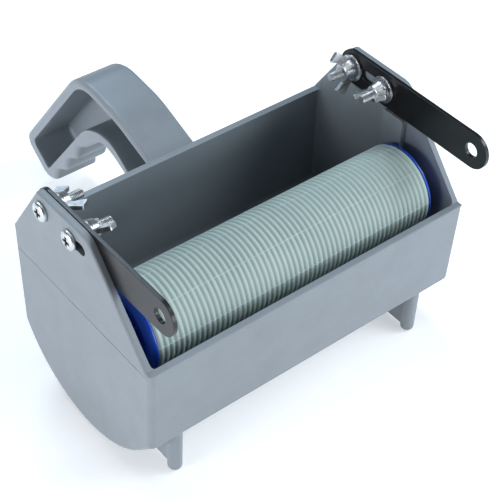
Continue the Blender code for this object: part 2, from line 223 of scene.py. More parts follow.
def inset(outline, radius_of, share):
    """Move a closed outline inwards, each edge by share of radius_of(its middle)."""
    n = len(outline)
    area = sum(outline[i - 1].x * outline[i].y - outline[i].x * outline[i - 1].y for i in range(n))
    side = 1.0 if area > 0 else -1.0
    lines = []
    for i in range(n):
        a, b = outline[i], outline[(i + 1) % n]
        u = (b - a).normalized()
        r = radius_of((a + b) / 2)
        lines.append((a + side * Vector((-u.y, u.x)) * (r * share), u, r))
    radii = [max(lines[i - 1][2], lines[i][2]) for i in range(n)]

    def meet(i, j):
        """Where moved edge i meets moved edge j."""
        (p, u, _), (q, v, _) = lines[i], lines[j]
        cross = u.x * v.y - u.y * v.x
        if abs(cross) < 0.02:
            return (q + p + u * (q - p).dot(u)) / 2
        gap = q - p
        return p + u * ((gap.x * v.y - gap.y * v.x) / cross)

    # An arc tighter than the inset turns over: each such run of edges shrinks to one point.
    moved = [meet(i - 1, i) for i in range(n)]
    lost = set()
    for _ in range(12):
        turned = {i for i in range(n) if (moved[(i + 1) % n] - moved[i]).dot(lines[i][1]) < -1e-6}
        if not turned - lost:
            break
        lost |= turned
        for first in [i for i in lost if (i - 1) % n not in lost]:
            last = first
            while (last + 1) % n in lost:
                last += 1
            run = [k % n for k in range(first, last + 2)]
            centre = sum((moved[k] for k in run), Vector((0, 0))) / len(run)
            point = meet((first - 1) % n, (last + 1) % n)
            if (point - centre).length > max(radii[k] for k in run):
                point = centre
            for k in run:
                moved[k] = point
    return moved, radii


def softened(name, outline, x0, x1, radius_of, steps=5):
    """Extrude an outline from x0 to x1 with both ends' edges rounded by radius_of(edge middle)."""
    loops = []
    for end, inward in ((x0, 1.0), (x1, -1.0)):
        part = []
        for k in range(steps + 1):
            a = math.pi / 2 * k / steps
            moved, radii = inset(outline, radius_of, 1 - math.sin(a))
            part.append([at(end + inward * r * (1 - math.cos(a)), p.x, p.y) for p, r in zip(moved, radii)])
        loops += part if inward > 0 else part[::-1]
    return loops_mesh(name, loops)


def box(name, x, y, z):
    return prism(name, [(y[0], z[0]), (y[1], z[0]), (y[1], z[1]), (y[0], z[1])], x[0], x[1])


def obround(name, y0, y1, half, x0, x1, z):
    ends = arc(y1 - half, z, half, -90, 90, 18) + arc(y0 + half, z, half, 90, 270, 18)
    return prism(name, ends, x0, x1)


def disc(name, r, x0, x1, y, z, seg=48):
    return prism(name, arc(y, z, r, 0, 360 - 360 / seg, seg - 1), x0, x1)


def round_edges(ob, radius_of, segments=3, sharper=20.0):
    """Round edges by radius_of(middle, direction, angle) in mm; edges it gives 0 stay sharp."""
    bm = bmesh.new()
    bm.from_mesh(ob.data)
    weights = bm.edges.layers.float
    layer = weights.get("bevel_weight_edge") or weights.new("bevel_weight_edge")
    radii = {}
    for e in bm.edges:
        e[layer] = 0.0
        if len(e.link_faces) != 2:
            continue
        angle = math.degrees(e.calc_face_angle(0.0))
        if angle < sharper:
            continue
        a, b = e.verts
        mid = (a.co + b.co) / 2 / MM - ORIGIN
        r = radius_of(mid, (b.co - a.co).normalized(), angle)
        if r > 0:
            radii[e.index] = r
    top = max(radii.values(), default=0.0)
    bm.edges.ensure_lookup_table()
    for i, r in radii.items():
        bm.edges[i][layer] = r / top
    bm.to_mesh(ob.data)
    bm.free()
    if not radii:
        return ob
    mod = ob.modifiers.new("round", "BEVEL")
    mod.limit_method = "WEIGHT"
    mod.offset_type = "OFFSET"
    mod.width = top * MM
    mod.segments = segments
    mod.use_clamp_overlap = True
    mod.miter_outer = "MITER_ARC"
    return applied(ob)


def combine(ob, other, operation):
    mod = ob.modifiers.new("bool", "BOOLEAN")
    mod.operation = operation
    mod.solver = "EXACT"
    mod.object = other
    applied(ob)
    bpy.data.objects.remove(other, do_unlink=True)
    return ob


def tidy_mesh(ob):
    """Drop doubled points and points that only split a straight edge."""
    bm = bmesh.new()
    bm.from_mesh(ob.data)
    bmesh.ops.remove_doubles(bm, verts=bm.verts, dist=2e-6)
    bmesh.ops.dissolve_degenerate(bm, edges=bm.edges, dist=1e-6)
    straight = [v for v in bm.verts if len(v.link_edges) == 2
                and abs(v.calc_edge_angle(0.0)) < math.radians(0.5)]
    bmesh.ops.dissolve_verts(bm, verts=straight)
    bmesh.ops.recalc_face_normals(bm, faces=bm.faces)
    bm.to_mesh(ob.data)
    bm.free()
    return ob


def shade(ob, sharp=38.0, weighted=True):
    """Smooth shading that keeps large flats flat."""
    ob.data.shade_smooth()
    ob.data.set_sharp_from_angle(angle=math.radians(sharp))
    if weighted:
        mod = ob.modifiers.new("flats", "WEIGHTED_NORMAL")
        mod.keep_sharp = True
        mod.weight = 60
    return ob


def loops_mesh(name, loops, closed=False):
    """Skin a list of equally long loops of frame points; ends are capped unless it closes on itself."""
    bm = bmesh.new()
    rows = [[bm.verts.new(p) for p in loop] for loop in loops]
    n = len(rows[0])
    pairs = list(zip(rows, rows[1:])) + ([(rows[-1], rows[0])] if closed else [])
    for a, b in pairs:
        for i in range(n):
            j = (i + 1) % n
            bm.faces.new((a[i], a[j], b[j], b[i]))
    if not closed:
        bm.faces.new(rows[0])
        bm.faces.new(rows[-1])
    return new_piece(name, bm)


def turned(name, profile, y, z, seg=64, closed=True):
    """Turn an (x, r) profile about the line along x through (y, z)."""
    loops = [[at(x, y + r * math.cos(2 * math.pi * i / seg), z + r * math.sin(2 * math.pi * i / seg))
              for i in range(seg)] for x, r in profile]
    return loops_mesh(name, loops, closed)


# ------------------------------------------------------------------ material helpers
def new_material(name, colour, rough, metal=0.0):
    m = bpy.data.materials.new(name)
    m.use_nodes = True
    bsdf = m.node_tree.nodes["Principled BSDF"]
    bsdf.inputs["Base Color"].default_value = (*colour, 1.0)
    bsdf.inputs["Roughness"].default_value = rough
    bsdf.inputs["Metallic"].default_value = metal
    return m, m.node_tree, bsdf


def add(tree, kind, **values):
    node = tree.nodes.new(kind)
    for key, value in values.items():
        if key in node.inputs:
            node.inputs[key].default_value = value
        else:
            setattr(node, key, value)
    return node


def noise(tree, scale, detail=3.0, roughness=0.5, vector=None):
    if vector is None:
        vector = add(tree, "ShaderNodeTexCoord").outputs["Object"]
    node = add(tree, "ShaderNodeTexNoise", Scale=scale, Detail=detail, Roughness=roughness)
    tree.links.new(vector, node.inputs["Vector"])
    return node.outputs["Fac"]


def ramp(tree, value, stops):
    """Colour ramp from (position, colour) stops."""
    node = add(tree, "ShaderNodeValToRGB")
    while len(node.color_ramp.elements) < len(stops):
        node.color_ramp.elements.new(0.5)
    for element, (place, colour) in zip(node.color_ramp.elements, stops):
        element.position = place
        element.color = (*colour, 1.0)
    tree.links.new(value, node.inputs["Fac"])
    return node.outputs["Color"]


def scaled(tree, value, lo, hi, given=(0.0, 1.0)):
    """Map the given range of a value onto lo..hi."""
    node = add(tree, "ShaderNodeMapRange")
    node.inputs["From Min"].default_value, node.inputs["From Max"].default_value = given
    node.inputs["To Min"].default_value = lo
    node.inputs["To Max"].default_value = hi
    tree.links.new(value, node.inputs["Value"])
    return node.outputs["Result"]


def mixed(tree, factor, a, b, blend="MIX"):
    """Mix two colours; each of a, b is a socket or a colour, factor a socket or a number."""
    node = add(tree, "ShaderNodeMix", data_type="RGBA", blend_type=blend)
    for socket, value in ((node.inputs["Factor"], factor), (node.inputs[6], a), (node.inputs[7], b)):
        if isinstance(value, bpy.types.NodeSocket):
            tree.links.new(value, socket)
        elif isinstance(value, (int, float)):
            socket.default_value = value
        else:
            socket.default_value = (*value, 1.0)
    return node.outputs[2]


def calc(tree, operation, a, b=0.0, clamp=False):
    """Math node on two sockets or numbers."""
    node = add(tree, "ShaderNodeMath", operation=operation, use_clamp=clamp)
    for socket, value in zip(node.inputs, (a, b)):
        if isinstance(value, bpy.types.NodeSocket):
            tree.links.new(value, socket)
        else:
            socket.default_value = value
    return node.outputs[0]


def vector_calc(tree, operation, a, b=(0, 0, 0)):
    """Vector math node on a socket and a constant."""
    node = add(tree, "ShaderNodeVectorMath", operation=operation)
    tree.links.new(a, node.inputs[0])
    node.inputs[1].default_value = b
    return node.outputs["Value" if operation == "LENGTH" else "Vector"]


def roughen(tree, bsdf, value, lo, hi):
    """Let a value from 0 to 1 drive the roughness from lo to hi."""
    tree.links.new(scaled(tree, value, lo, hi), bsdf.inputs["Roughness"])


def bump(tree, bsdf, layers):
    """Stack of (height socket, strength, distance in metres) bumps."""
    normal = None
    for height, strength, distance in layers:
        node = add(tree, "ShaderNodeBump", Strength=strength, Distance=distance)
        tree.links.new(height, node.inputs["Height"])
        if normal is not None:
            tree.links.new(normal, node.inputs["Normal"])
        normal = node.outputs["Normal"]
    tree.links.new(normal, bsdf.inputs["Normal"])


def shade_of(colour, k):
    return tuple(min(1.0, c * k) for c in colour)


def moulded_plastic(name, colour, rough, grain=0.05):
    """Semi-matte moulding: slow tone drift, fine grain, flow marks and paler rubbed edges."""
    m, tree, bsdf = new_material(name, colour, rough)
    drift = ramp(tree, noise(tree, 14.0, 4.0, 0.55),
                 [(0.3, shade_of(colour, 0.955)), (0.5, colour), (0.72, shade_of(colour, 1.045))])
    speck = ramp(tree, noise(tree, 900.0, 2.0, 0.7), [(0.25, (0.93,) * 3), (0.6, (1.03,) * 3)])
    tone = mixed(tree, 0.55, drift, speck, "MULTIPLY")
    edge = scaled(tree, add(tree, "ShaderNodeNewGeometry").outputs["Pointiness"], -9.0, 10.0)
    patch = scaled(tree, noise(tree, 60.0, 4.0, 0.6), -1.0, 2.2)
    rub = calc(tree, "MULTIPLY", edge, patch, clamp=True)
    tone = mixed(tree, calc(tree, "MULTIPLY", rub, 0.14), tone, shade_of(colour, 1.5))
    tree.links.new(tone, bsdf.inputs["Base Color"])
    roughen(tree, bsdf, noise(tree, 45.0, 5.0, 0.6), rough - 0.05, rough + 0.07)
    bump(tree, bsdf, [(noise(tree, 2600.0, 2.0), grain, 0.00012), (noise(tree, 9.0, 2.0), 0.12, 0.0012)])
    return m


def painted_steel(name):
    """Black powder coat: orange peel, dust and a few pale specks."""
    colour = (0.0065, 0.0065, 0.0075)
    m, tree, bsdf = new_material(name, colour, 0.3)
    dust = ramp(tree, noise(tree, 70.0, 6.0, 0.65), [(0.42, colour), (0.8, shade_of(colour, 2.1))])
    speck = ramp(tree, noise(tree, 1600.0, 1.0), [(0.66, (0.0,) * 3), (0.74, (1.0,) * 3)])
    tone = mixed(tree, scaled(tree, speck, 0.0, 0.10), dust, (0.25, 0.25, 0.26))
    tree.links.new(tone, bsdf.inputs["Base Color"])
    roughen(tree, bsdf, noise(tree, 120.0, 4.0), 0.24, 0.38)
    bump(tree, bsdf, [(noise(tree, 1500.0, 2.0), 0.08, 0.0002), (noise(tree, 260.0, 2.0), 0.06, 0.0003)])
    return m


def zinc(name, seed, rough=0.3, recess=None):
    """Bright zinc plate: cloudy tone and faint scratches; recess is a screw's (y, face x, z)
    whose sunk middle is darkened with painted shade."""
    m, tree, bsdf = new_material(name, (0.7, 0.71, 0.72), rough, 1.0)
    coords = add(tree, "ShaderNodeTexCoord").outputs["Object"]
    place = add(tree, "ShaderNodeMapping")
    place.inputs["Location"].default_value = (seed * 0.37, seed * 0.11, 0.0)
    tree.links.new(coords, place.inputs["Vector"])
    v = place.outputs["Vector"]
    cloud = ramp(tree, noise(tree, 420.0, 4.0, 0.6, v),
                 [(0.3, (0.52, 0.53, 0.54)), (0.5, (0.68, 0.69, 0.70)), (0.75, (0.80, 0.80, 0.80))])
    if recess is not None:
        y, face, z = recess
        off = vector_calc(tree, "SUBTRACT", coords, at(face, y, z))
        parts = add(tree, "ShaderNodeSeparateXYZ")
        tree.links.new(off, parts.inputs[0])
        sunk = calc(tree, "ABSOLUTE", parts.outputs["X"])
        far = vector_calc(tree, "LENGTH", vector_calc(tree, "MULTIPLY", off, (0, 1, 1)))
        # painted shade: the cross recess darkens towards its bottom, standing in for the shade that falls in
        # it
        deep = ramp(tree, scaled(tree, sunk, 0.0, 1.0, RECESS_SHADE_RANGE),
                    [(0.03, (1.0,) * 3), (0.15, (0.16, 0.16, 0.17)), (0.52, (0.05,) * 3), (0.56, (1.0,) * 3)])
        inside = ramp(tree, scaled(tree, far, 0.0, 1.0, RECESS_SHADE_RANGE),
                      [(0.76, (1.0,) * 3), (0.84, (0.0,) * 3)])
        cloud = mixed(tree, inside, cloud, mixed(tree, 1.0, cloud, deep, "MULTIPLY"))
    tree.links.new(cloud, bsdf.inputs["Base Color"])
    roughen(tree, bsdf, noise(tree, 700.0, 3.0, 0.6, v), rough - 0.06, rough + 0.12)
    bump(tree, bsdf, [(noise(tree, 1300.0, 3.0, 0.6, v), 0.06, 0.0002),
                      (noise(tree, 260.0, 2.0, 0.5, v), 0.05, 0.0004)])
    return m


def ring_rubber(name):
    """Grey-green rubber with painted shade darkening the grooves, with flecks and a dry bloom."""
    colour = (0.46, 0.56, 0.53)
    m, tree, bsdf = new_material(name, colour, 0.6)
    coords = add(tree, "ShaderNodeTexCoord").outputs["Object"]
    away = vector_calc(tree, "SUBTRACT", coords, at(0, AXIS.y, AXIS.z))
    flat = vector_calc(tree, "MULTIPLY", away, (0, 1, 1))
    crest_r = SLEEVE_R - FLASH
    height = scaled(tree, vector_calc(tree, "LENGTH", flat), 0.0, 1.0,
                    ((crest_r - GROOVE_DEPTH) * MM, crest_r * MM))
    # painted shade: the grooves are darkened and the crests made a touch lighter by radius, standing in for
    # light and shade on the rings
    crest = ramp(tree, height, [(0.0, shade_of(colour, 0.78)), (0.4, shade_of(colour, 0.92)),
                                (0.8, colour), (1.0, shade_of(colour, 1.03))])
    cloud = ramp(tree, noise(tree, 38.0, 5.0, 0.6), [(0.3, (0.93, 0.94, 0.95)), (0.7, (1.05, 1.05, 1.03))])
    tone = mixed(tree, 1.0, crest, cloud, "MULTIPLY")
    fleck = ramp(tree, noise(tree, 1300.0, 2.0, 0.6), [(0.66, (0.0,) * 3), (0.76, (1.0,) * 3)])
    tone = mixed(tree, scaled(tree, fleck, 0.0, 0.35), tone, shade_of(colour, 1.45))
    split = add(tree, "ShaderNodeSeparateXYZ")
    tree.links.new(flat, split.inputs[0])
    step = math.radians(SEAM_STEP)
    turn = calc(tree, "ARCTAN2", split.outputs["Z"], split.outputs["Y"])
    turn = calc(tree, "ADD", turn, 2 * math.tau + step / 2 - math.radians(SEAM_FIRST))
    off_seam = calc(tree, "ABSOLUTE", calc(tree, "SUBTRACT", calc(tree, "MODULO", turn, step), step / 2))
    line = ramp(tree, scaled(tree, off_seam, 0.0, 1.0, (0.0, math.radians(2.0))),
                [(0.14, (1.0,) * 3), (0.26, (0.0,) * 3)])
    dashes = scaled(tree, noise(tree, 230.0, 3.0, 0.6), -0.55, 1.35)
    tone = mixed(tree, mixed(tree, 1.0, line, dashes, "MULTIPLY"), tone, shade_of(colour, 1.5))
    tree.links.new(tone, bsdf.inputs["Base Color"])
    roughen(tree, bsdf, noise(tree, 90.0, 4.0), 0.52, 0.7)
    bsdf.inputs["Sheen Weight"].default_value = 0.12
    bump(tree, bsdf, [(noise(tree, 1700.0, 3.0), 0.15, 0.0002), (noise(tree, 160.0, 3.0), 0.10, 0.0006)])
    return m


def gloss_blue(name):
    colour = (0.008, 0.078, 0.56)
    m, tree, bsdf = new_material(name, colour, 0.3)
    tone = ramp(tree, noise(tree, 60.0, 4.0), [(0.3, shade_of(colour, 0.86)), (0.7, shade_of(colour, 1.1))])
    tree.links.new(tone, bsdf.inputs["Base Color"])
    roughen(tree, bsdf, noise(tree, 400.0, 4.0), 0.26, 0.36)
    bump(tree, bsdf, [(noise(tree, 1500.0, 2.0), 0.04, 0.0001)])
    return m


def drawn_steel(name):
    m, tree, bsdf = new_material(name, (0.58, 0.58, 0.6), 0.3, 1.0)
    coords = add(tree, "ShaderNodeTexCoord").outputs["Object"]
    stretch = add(tree, "ShaderNodeMapping")
    stretch.inputs["Scale"].default_value = (6.0, 900.0, 900.0)
    tree.links.new(coords, stretch.inputs["Vector"])
    lines = noise(tree, 1.0, 3.0, 0.6, stretch.outputs["Vector"])
    tone = ramp(tree, lines, [(0.3, (0.42, 0.42, 0.43)), (0.7, (0.68, 0.68, 0.69))])
    tree.links.new(tone, bsdf.inputs["Base Color"])
    roughen(tree, bsdf, lines, 0.22, 0.42)
    bump(tree, bsdf, [(lines, 0.1, 0.0002)])
    return m


def finish_piece(ob, mat, body, node):
    ob.data.materials.clear()
    ob.data.materials.append(mat)
    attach(ob, body)
    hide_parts(node)
    return ob


# ------------------------------------------------------------------ tray
def trough(offset, k=48):
    """Outline of the trough's bottom, offset inwards, from the front corner to the rear one."""
    r = BELLY_R - offset
    ay, az = 1.6 + offset, FRONT_BOTTOM + offset * 0.45
    d = math.hypot(ay - BELLY_Y, az - BELLY_Z)
    to_corner = math.degrees(math.atan2(az - BELLY_Z, ay - BELLY_Y)) % 360
    touch = to_corner + math.degrees(math.acos(min(1.0, r / d)))
    rear = math.degrees(math.asin(-math.sqrt(1 - ((DEPTH - offset - BELLY_Y) / r) ** 2))) + 360
    return [Vector((ay, az))] + arc(BELLY_Y, BELLY_Z, r, touch, rear, k)


def tray_corner(mid):
    """Radii of the ends' edges: soft upright corners and belly, crisper rims and plates."""
    if mid.y > -0.45:
        return 1.5
    return 3.4 if mid.x < DEPTH - 0.5 or mid.y < -30 else 2.4


def tray_rim(mid, along, angle):
    """The inner edges of the rims and plates."""
    if mid.z < -0.6 or abs(mid.x) > TRAY_HALF - 0.3:
        return 0.0
    return 0.6


def foot(x, y):
    """Round peg with a domed end, its top sunk in the trough's wall."""
    profile = [(0.4, -RIM), (0.9, -RIM + 0.02)]
    profile += [(PEG_R - PEG_DOME * (1 - math.sin(a)), -RIM + PEG_DOME - (PEG_DOME - 0.04) * math.cos(a))
                for a in (math.radians(15 * i) for i in range(1, 7))]
    profile += [(PEG_R + 0.3, PEG_TOP)]
    seg = 40
    loops = [[at(x + r * math.cos(2 * math.pi * i / seg), y + r * math.sin(2 * math.pi * i / seg), z)
              for i in range(seg)] for r, z in profile]
    return loops_mesh("foot", loops)


def rib(name, outline, x0, x1, radius):
    """Raised pad or rib with rounded face edges."""
    ob = prism(name, outline, x0, x1)
    face = min(abs(x0), abs(x1))
    return round_edges(ob, lambda mid, along, angle: radius(mid) if abs(abs(mid.x) - face) < 0.1 else 0.0, 4)


def build_tray():
    corners = [(0, 0, 0.9), (WALL, 0, 0), (PLATE_FRONT_Y, PLATE_TOP, 10.0), (PLATE_REAR_Y, PLATE_TOP, 3.0),
               (DEPTH, REAR_RIM + 0.4, 1.5), (DEPTH, -30, 0)]
    belly = trough(0.0)[::-1]
    outline = rounded(corners + [(p.x, p.y, 0) for p in belly[:-1]] + [(belly[-1].x, belly[-1].y, 2.0)], 15.0)
    tray = softened("tray_shell", outline, -TRAY_HALF, TRAY_HALF, tray_corner)
    for sx in (-1, 1):
        for py in PEG_Y:
            combine(tray, foot(sx * PEG_X, py), "UNION")
        x0 = sx * PEG_X - RAIL_T / 2
        rail = box("rail", (x0, x0 + RAIL_T), PEG_Y, (RAIL_Z, RAIL_TOP))
        round_edges(rail, lambda mid, along, angle: 0.5 if mid.z < RAIL_Z + 0.1 else 0.0, 3)
        combine(tray, rail, "UNION")
    inner = [Vector((WALL, 70)), Vector((WALL, 0))] + trough(WALL)
    inner += [Vector((DEPTH - WALL, -30)), Vector((DEPTH - WALL, 70))]
    between = (-TRAY_HALF + WALL, TRAY_HALF - WALL)
    cavity = prism("cavity", inner, *between)
    round_edges(cavity, lambda mid, along, angle: 2.0 if mid.z < 60 else 0.0, 4)
    combine(tray, cavity, "DIFFERENCE")
    rim = box("rim", between, (DEPTH - WALL - 1, DEPTH + 1), (REAR_RIM, 70))
    combine(tray, rim, "DIFFERENCE")
    tidy_mesh(tray)
    round_edges(tray, tray_rim, 3, 55.0)
    for sx in (-1, 1):
        wall = sx * (TRAY_HALF - 1.0)
        pad = rounded([(PAD_Y[0], PAD_Z[0], 7.0), (PAD_Y[1], PAD_Z[0], 7.0),
                       (PAD_Y[1], PAD_Z[1], 2.0), (PAD_Y[0], PAD_Z[1], 2.0)])
        soft = lambda mid: 1.9 if mid.y < PAD_Y[0] + 0.5 else 0.35
        combine(tray, rib("pad", pad, sx * PAD_X, wall, soft), "UNION")
        seat = rounded([(SEAT_Y[0], SEAT_Z[0], 6.0), (SEAT_Y[1], SEAT_Z[0], 0.0),
                        (SEAT_Y[1], SEAT_Z[1], 0.0), (SEAT_Y[0], SEAT_Z[1], 2.0)])
        combine(tray, rib("seat", seat, sx * SEAT_X, wall, lambda mid: 0.8), "UNION")
        notch = arc(AXIS.y, AXIS.z, NOTCH_R, 180, 360, 18)
        notch += [Vector((AXIS.y + NOTCH_R, SEAT_Z[1] + 3)), Vector((AXIS.y - NOTCH_R, SEAT_Z[1] + 3))]
        combine(tray, prism("notch", notch, sx * 80, sx * (TRAY_HALF - WALL)), "DIFFERENCE")
        hole = disc("hole", HOLE_R, sx * 90, sx * 110, SCREWS["rear_left"][0].y, SCREW_Z)
        combine(tray, hole, "DIFFERENCE")
        combine(tray, obround("slot", *PLATE_SLOT, sx * 90, sx * 110, SCREW_Z), "DIFFERENCE")
        face = sx * (TRAY_HALF - 0.16)
        line = box("parting", (face, face + sx * 3), (-3, DEPTH + 3), (PARTING_Z - 0.16, PARTING_Z + 0.16))
        combine(tray, line, "DIFFERENCE")
    tidy_mesh(tray)
    shade(tray)
    plastic = moulded_plastic("tray_plastic", (0.242, 0.268, 0.292), 0.46)
    return finish_piece(tray, plastic, "tray_body", "tray")


# ------------------------------------------------------------------ handle
def grip_point(n, s):
    """Point at distance n across the grip and s along it."""
    c, d = math.cos(GRIP_DIR), math.sin(GRIP_DIR)
    return Vector((n * d + s * c, n * c - s * d))


def handle_outline():
    """Outer side from the root over the bend to the grip's end, finger waves and crotch back to it."""
    apex = grip_point(GRIP_BACK, 97.4)
    wave = GRIP_FRONT - FINGER_DEPTH
    outer = rounded([(ROOT_Y, -34.0, 0), (ROOT_Y, 5.6, 0), (150, 18.4, 60), (apex.x, apex.y, 28),
                     (*grip_point(GRIP_BACK, GRIP_END), 8), (*grip_point(wave, GRIP_END), 12),
                     (*grip_point(wave, 180), 0)], 4.0)[:-1]
    fingers = [grip_point(GRIP_FRONT + FINGER_DEPTH * math.cos(2 * math.pi * (s - 184.0) / FINGER_PITCH), s)
               for s in [190.4 - 1.2 * i for i in range(48)]]
    crotch = smooth([fingers[-1], (176.5, -18.6), (170.0, -13.8), (163.0, -12.2), (156.0, -13.6),
                     (148.0, -17.2), (138.0, -22.4), (ROOT_Y, -34.0)], 7)
    return outer + fingers[:-1] + crotch[:-1]


def channel_outline():
    """The hollow's outline, one wall inside the handle's."""
    y0 = ROOT_Y + ROOT_T
    back = GRIP_BACK - GRIP_WALL
    apex = grip_point(back, 98.6)
    channel = rounded([(y0, -25.4, 0), (y0, 2.4, 0), (150, 13.2, 60), (apex.x, apex.y, 20),
                       (*grip_point(back, CHANNEL_END), 4), (*grip_point(CHANNEL_FRONT, CHANNEL_END), 3),
                       (*grip_point(CHANNEL_FRONT, 180), 0)], 4.0)[:-1]
    inside = smooth([grip_point(CHANNEL_FRONT, 190), grip_point(CHANNEL_FRONT, 160),
                     grip_point(CHANNEL_FRONT + 0.2, 130), (182.5, -12.4), (177.0, -8.9), (170.0, -6.0),
                     (162.5, -5.0), (155.0, -6.0), (148.0, -9.8), (138.0, -16.4), (y0, -25.4)], 6)
    return channel + inside[:-1]


def build_handle():
    x0, x1 = HANDLE_X
    soft = lambda mid: 3.0 if mid.x > ROOT_Y + 0.5 else 0.0
    handle = softened("handle_shell", handle_outline(), x0, x1, soft, 6)
    channel = softened("channel", channel_outline(), x0 - 5, x1 - WEB_T, lambda mid: 2.5, 5)
    combine(handle, channel, "DIFFERENCE")
    tidy_mesh(handle)
    lip = lambda mid, along, angle: 0.7 if abs(mid.x - x0) < 0.1 and mid.y > ROOT_Y + 1 else 0.0
    round_edges(handle, lip, 3, 55.0)
    tidy_mesh(handle)
    shade(handle)
    plastic = moulded_plastic("handle_plastic", (0.254, 0.284, 0.312), 0.42)
    return finish_piece(handle, plastic, "tray_body", "handle")


# ------------------------------------------------------------------ feeder roller
def build_sleeve():
    rng = random.Random(7)
    pitch = 2 * SLEEVE_HALF / RINGS
    half_ring = [(pitch * i / 10, ((1 + math.cos(math.pi * i / 5)) / 2) ** 1.5) for i in range(5)]
    stations = []
    for ring in range(RINGS):
        x0 = -SLEEVE_HALF + ring * pitch
        lift, jitter = rng.uniform(-0.04, 0.04), [rng.uniform(-0.5, 0.5) for _ in range(8)]
        flash = [FLASH * rng.uniform(0.4, 1.0) for _ in range(8)]
        for d, g in half_ring + [(pitch / 2, 0.0)] + [(pitch - d, g) for d, g in half_ring[:0:-1]]:
            stations.append((x0 + d, g, lift * (1 - g), jitter, flash))
    stations.append((SLEEVE_HALF, 1.0, 0.0, jitter, flash))
    half_step = SEAM_STEP / 2
    plain = [(3.0 * i, None) for i in range(120)
             if abs((3.0 * i - SEAM_FIRST + half_step) % SEAM_STEP - half_step) > 1.4]
    ridges = [(SEAM_FIRST + SEAM_STEP * k + o, (k, o))
              for k in range(8) for o in (-0.55, -0.28, 0, 0.28, 0.55)]
    angles = sorted(plain + ridges, key=lambda a: a[0] % 360)

    def round_axis(x, r, degrees):
        t = math.radians(degrees)
        return at(x, AXIS.y + r * math.cos(t), AXIS.z + r * math.sin(t))

    loops = []
    for x, g, lift, jitter, flash in stations:
        loop = []
        for a, seam in angles:
            r = SLEEVE_R - FLASH - GROOVE_DEPTH * g + lift
            if seam is not None:
                k, o = seam
                r += (flash[k] + 0.3 * GROOVE_DEPTH * g) * (1.0 if o == 0 else 0.7 if abs(o) < 0.4 else 0.0)
                a += jitter[k] * 0.6
            loop.append(round_axis(x, min(r, SLEEVE_R), a))
        loops.append(loop)
    bore = [[round_axis(x, SLEEVE_BORE, a) for a, seam in angles] for x in (SLEEVE_HALF, -SLEEVE_HALF)]
    sleeve = loops_mesh("roller_sleeve_ringed", loops + bore, closed=True)
    shade(sleeve, 50.0, weighted=False)
    return finish_piece(sleeve, ring_rubber("sleeve_rubber"), "roller", "roller_sleeve")


def build_cap(side, sx):
    """End cap: spigot in the core, rounded shoulder, dished face with ribs and a hub."""
    lo, hi = node_box("roller_cap_" + side)
    out, inn = max(abs(lo.x), abs(hi.x)), min(abs(lo.x), abs(hi.x))
    flange, spigot, bore = (hi.z - lo.z) / 2, 18.6, 3.2
    shoulder = [(out - 3.0 + 3.0 * math.sin(a), flange - 4.6 * (1 - math.cos(a)))
                for a in (math.radians(10 * i) for i in range(2, 10))]
    profile = [(SLEEVE_HALF + 0.3, spigot), (SLEEVE_HALF + 0.3, flange - 0.3), (SLEEVE_HALF + 0.55, flange),
               (out - 2.2, flange)] + shoulder
    profile += [(out, 17.6), (out - 0.4, 17.0), (out - 2.2, 16.4), (out - 2.5, 15.8), (out - 2.5, 8.4),
                (out - 2.2, 7.8), (out - 0.4, 7.4), (out - 0.1, 7.0), (out - 0.1, bore + 0.3),
                (out - 0.4, bore), (inn, bore), (inn, 6.5), (out - 6.0, 7.5), (out - 6.0, 16.0),
                (inn, 16.6), (inn, spigot - 0.4), (inn + 0.4, spigot)]
    cap = turned("cap_" + side, [(sx * x, r) for x, r in profile], AXIS.y, AXIS.z, 96)
    centre = at(0, AXIS.y, AXIS.z)
    for i in range(6):
        spoke = box("spoke", (sx * (out - 3.0), sx * (out - 0.7)), (AXIS.y + 6.9, AXIS.y + 17.3),
                    (AXIS.z - 0.7, AXIS.z + 0.7))
        turn = Matrix.Rotation(math.radians(60 * i + 15), 4, "X")
        spoke.data.transform(Matrix.Translation(centre) @ turn @ Matrix.Translation(-centre))
        combine(cap, spoke, "UNION")
    tidy_mesh(cap)
    shade(cap, 35.0)
    return finish_piece(cap, CAP_BLUE, "roller", "roller_cap_" + side)


def build_axle():
    lo, hi = node_box("roller_axle")
    half, r = hi.x, (hi.z - lo.z) / 2
    profile = [(-half, 0.4), (-half, r - 0.9), (-half + 0.3, r - 0.45), (-half + 0.8, r), (-half + 1.6, r)]
    profile += [(-x, q) for x, q in profile[::-1]]
    axle = turned("roller_axle_pin", profile, AXIS.y, AXIS.z, 48, closed=False)
    shade(axle, 30.0)
    return finish_piece(axle, drawn_steel("axle_steel"), "tray_body", "roller_axle")


# ------------------------------------------------------------------ arms and fasteners
def build_arm(side, sx):
    lo, hi = node_box("arm_" + side)
    y0, y1 = lo.y - ORIGIN.y, hi.y - ORIGIN.y
    half = (hi.z - lo.z) / 2
    ends = [(y0, SCREW_Z - half, half - 0.2), (y1, SCREW_Z - half, half - 0.2),
            (y1, SCREW_Z + half, half - 0.2), (y0, SCREW_Z + half, half - 0.2)]
    arm = prism("arm_plate_" + side, rounded(ends, 5.0), sx * ARM_IN, sx * ARM_OUT)
    span = (sx * 90, sx * 99)
    combine(arm, disc("hole", ARM_HOLE_R, *span, ARM_HOLE_Y, SCREW_Z), "DIFFERENCE")
    combine(arm, obround("slot", *ARM_SLOT, *span, SCREW_Z), "DIFFERENCE")
    combine(arm, obround("slot", *ARM_REAR_SLOT, *span, SCREW_Z), "DIFFERENCE")
    tidy_mesh(arm)
    round_edges(arm, lambda mid, along, angle: 0.55, 4, 60.0)
    shade(arm, 40.0)
    return finish_piece(arm, ARM_PAINT, "arm_" + side, "arm_" + side)


